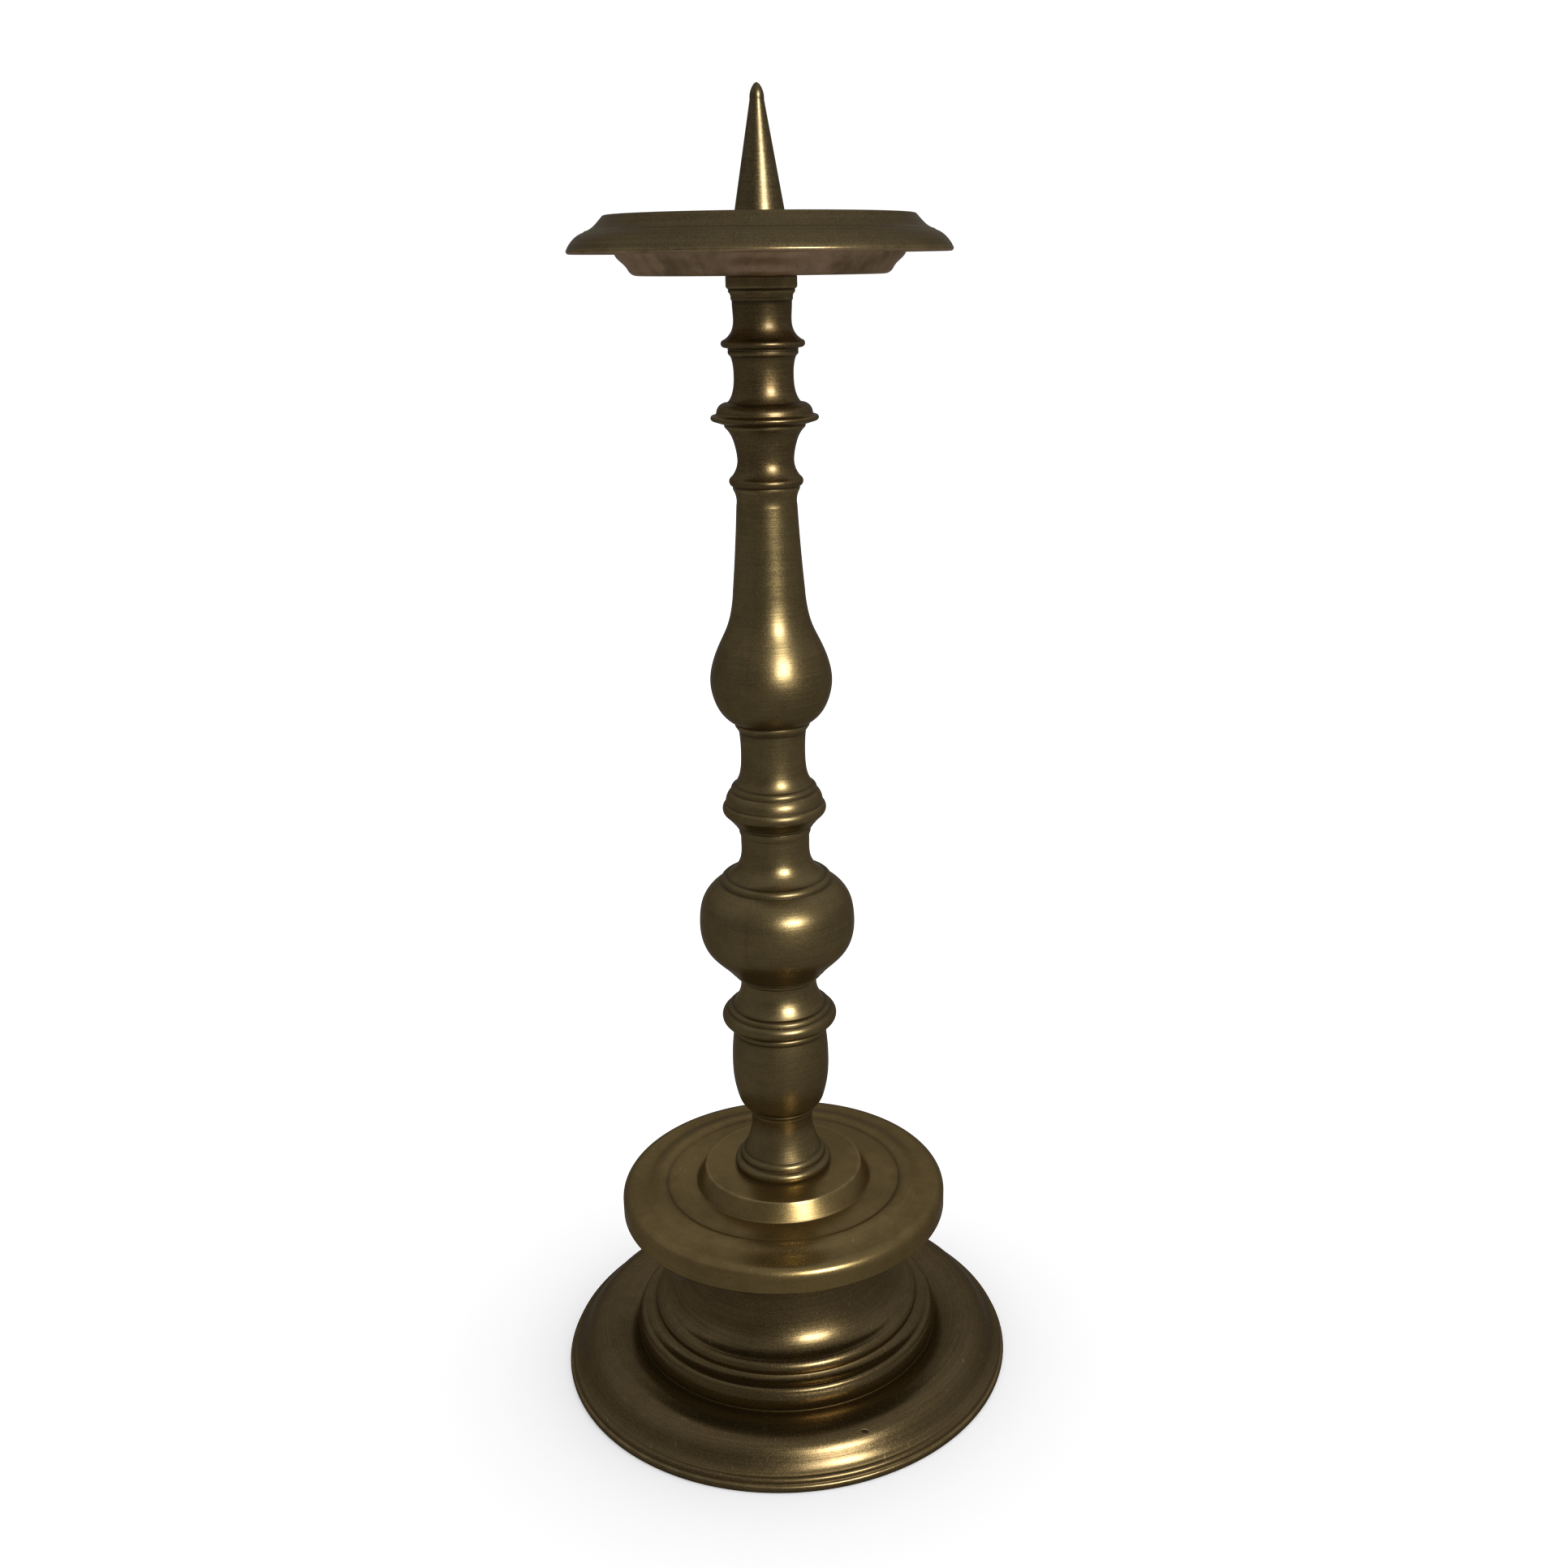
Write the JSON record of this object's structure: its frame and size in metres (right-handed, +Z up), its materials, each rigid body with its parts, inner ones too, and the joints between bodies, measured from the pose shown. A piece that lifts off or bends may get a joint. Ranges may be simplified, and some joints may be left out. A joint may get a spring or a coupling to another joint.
{
  "type": "altar candlestick",
  "caption": "Tall turned brass candlestick with a spike for the candle over a wide drip pan, a stem of stacked knops and spools, a round plate and a moulded bell foot.",
  "frame": {"origin": "middle of the foot's underside, on the surface the candlestick stands on", "axes": "+Z up along the axis of the stem"},
  "size_m": [0.151, 0.151, 0.4],
  "materials": {
    "brass_foot": "aged satin",
    "brass_plate": "aged satin, more golden",
    "brass_stem": "aged satin, olive brown in the hollows",
    "brass_pan": "aged satin",
    "brass_pricket": "aged satin, pitted",
    "steel": "dull zinc plated"
  },
  "bodies": {
    "candlestick": {"foot_base": "brass_foot", "foot_plate": "brass_plate", "base_spool": "brass_stem", "barrel": "brass_stem", "ring_knop": "brass_stem", "globe": "brass_stem", "neck_knop": "brass_stem", "pear": "brass_stem", "lower_spool": "brass_stem", "middle_spool": "brass_stem", "upper_spool": "brass_stem", "collar_nut": "brass_stem", "tie_rod": "steel", "foot_washer": "steel", "lock_washer": "steel", "foot_nut": "steel"},
    "drip_pan": {"drip_pan": "brass_pan"},
    "pricket": {"pricket": "brass_pricket"}
  },
  "joints": [
    {"name": "pricket_lift", "type": "slide", "parent": "candlestick", "child": "pricket", "axis": [0, 0, 1], "range_m": [0, 0.05]},
    {"name": "pan_lift", "type": "slide", "parent": "candlestick", "child": "drip_pan", "axis": [0, 0, 1], "range_m": [0, 0.025]}
  ],
  "couplings": [
    {"joint": "pan_lift", "follows": "pricket_lift", "ratio": 0.5}
  ]
}
